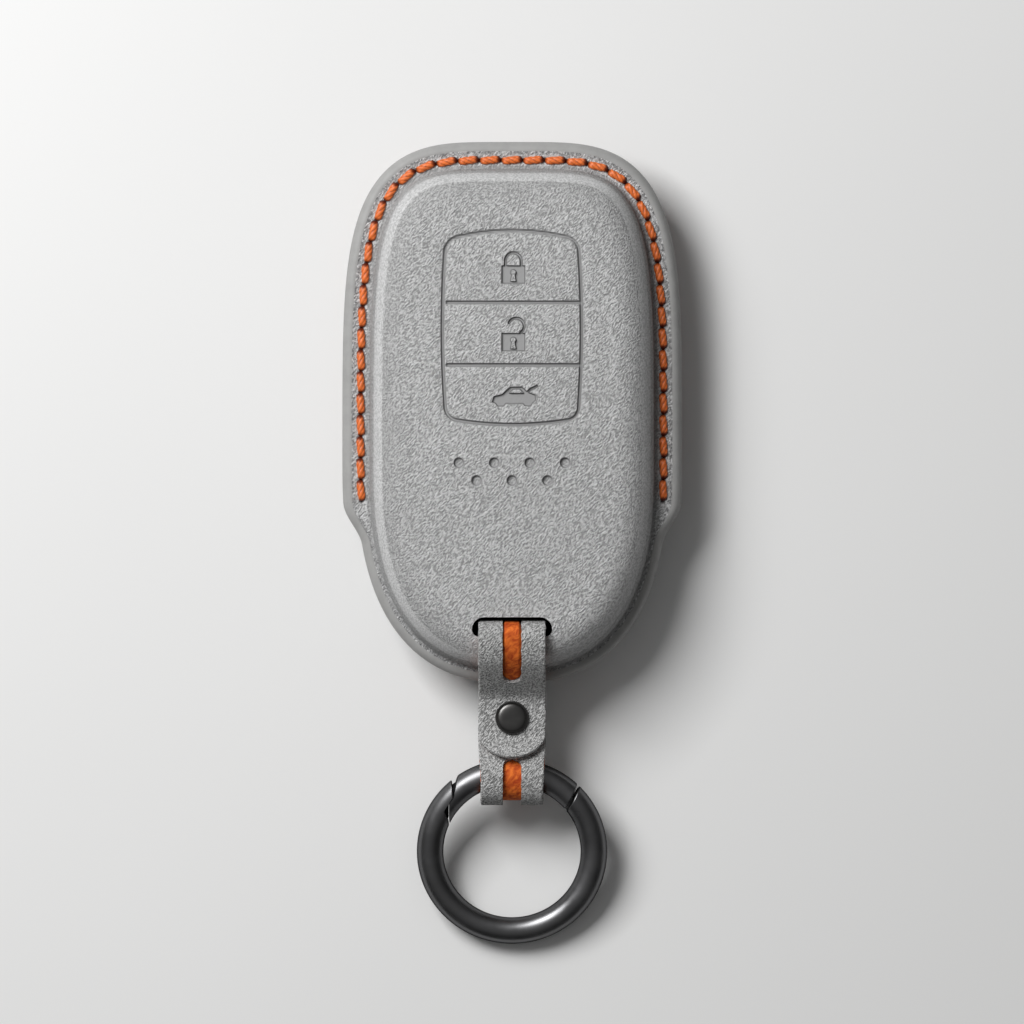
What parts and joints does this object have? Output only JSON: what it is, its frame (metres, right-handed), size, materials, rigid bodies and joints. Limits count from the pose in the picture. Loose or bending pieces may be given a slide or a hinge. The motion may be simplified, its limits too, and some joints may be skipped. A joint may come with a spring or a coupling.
{
  "type": "key fob cover",
  "caption": "Moulded suede pouch for a car key fob, sewn round its upper part, with a folded strap through two slots, a screw stud and a sprung gate ring",
  "frame": {"origin": "centre of the flat back face, which the case lies on", "axes": "+Z out of the front face, +Y towards the sewn end, so the ring hangs towards -Y, +X across to the right"},
  "size_m": [0.051, 0.1205, 0.0191],
  "materials": {
    "suede": "grey suede with a short diagonal nap and a painted edge",
    "case_lining": "dark microfibre lining",
    "thread": "twisted waxed orange thread",
    "strap_lining": "matt orange lining",
    "stud_metal": "dark gunmetal plating",
    "ring_metal": "polished gunmetal plating",
    "pin_steel": "ground steel",
    "spring_steel": "spring wire"
  },
  "bodies": {
    "case": {"front_cover": "suede", "front_lining": "case_lining", "back_cover": "suede", "back_lining": "case_lining", "needle_thread": "thread", "bobbin_thread": "thread"},
    "strap_tail": {"strap_face": "suede", "strap_lining": "strap_lining", "stud_barrel": "stud_metal", "stud_screw": "stud_metal"},
    "gate": {"ring_gate": "ring_metal", "gate_spring": "spring_steel"},
    "ring": {"ring_body": "ring_metal", "gate_pin": "pin_steel"}
  },
  "joints": [
    {"name": "strap_flex", "type": "hinge", "parent": "case", "child": "strap_tail", "pos_m": [0, -0.0416, 0.0086], "axis": [-1, 0, 0], "range_deg": [-35, 35], "stiffness_Nm_per_rad": 0.03, "deforming": ["strap_face", "strap_lining"]},
    {"name": "ring_swing", "type": "hinge", "parent": "strap_tail", "child": "gate", "pos_m": [0, -0.0545, 0.00773], "axis": [-1, 0, 0], "range_deg": [-88, 115]},
    {"name": "gate_hinge", "type": "hinge", "parent": "gate", "child": "ring", "pos_m": [0.00977, -0.05985, 0.00642], "axis": [0, 0.2381, -0.9712], "range_deg": [0, 18], "stiffness_Nm_per_rad": 0.005, "springref_deg": -51.57, "deforming": ["gate_spring"]}
  ]
}
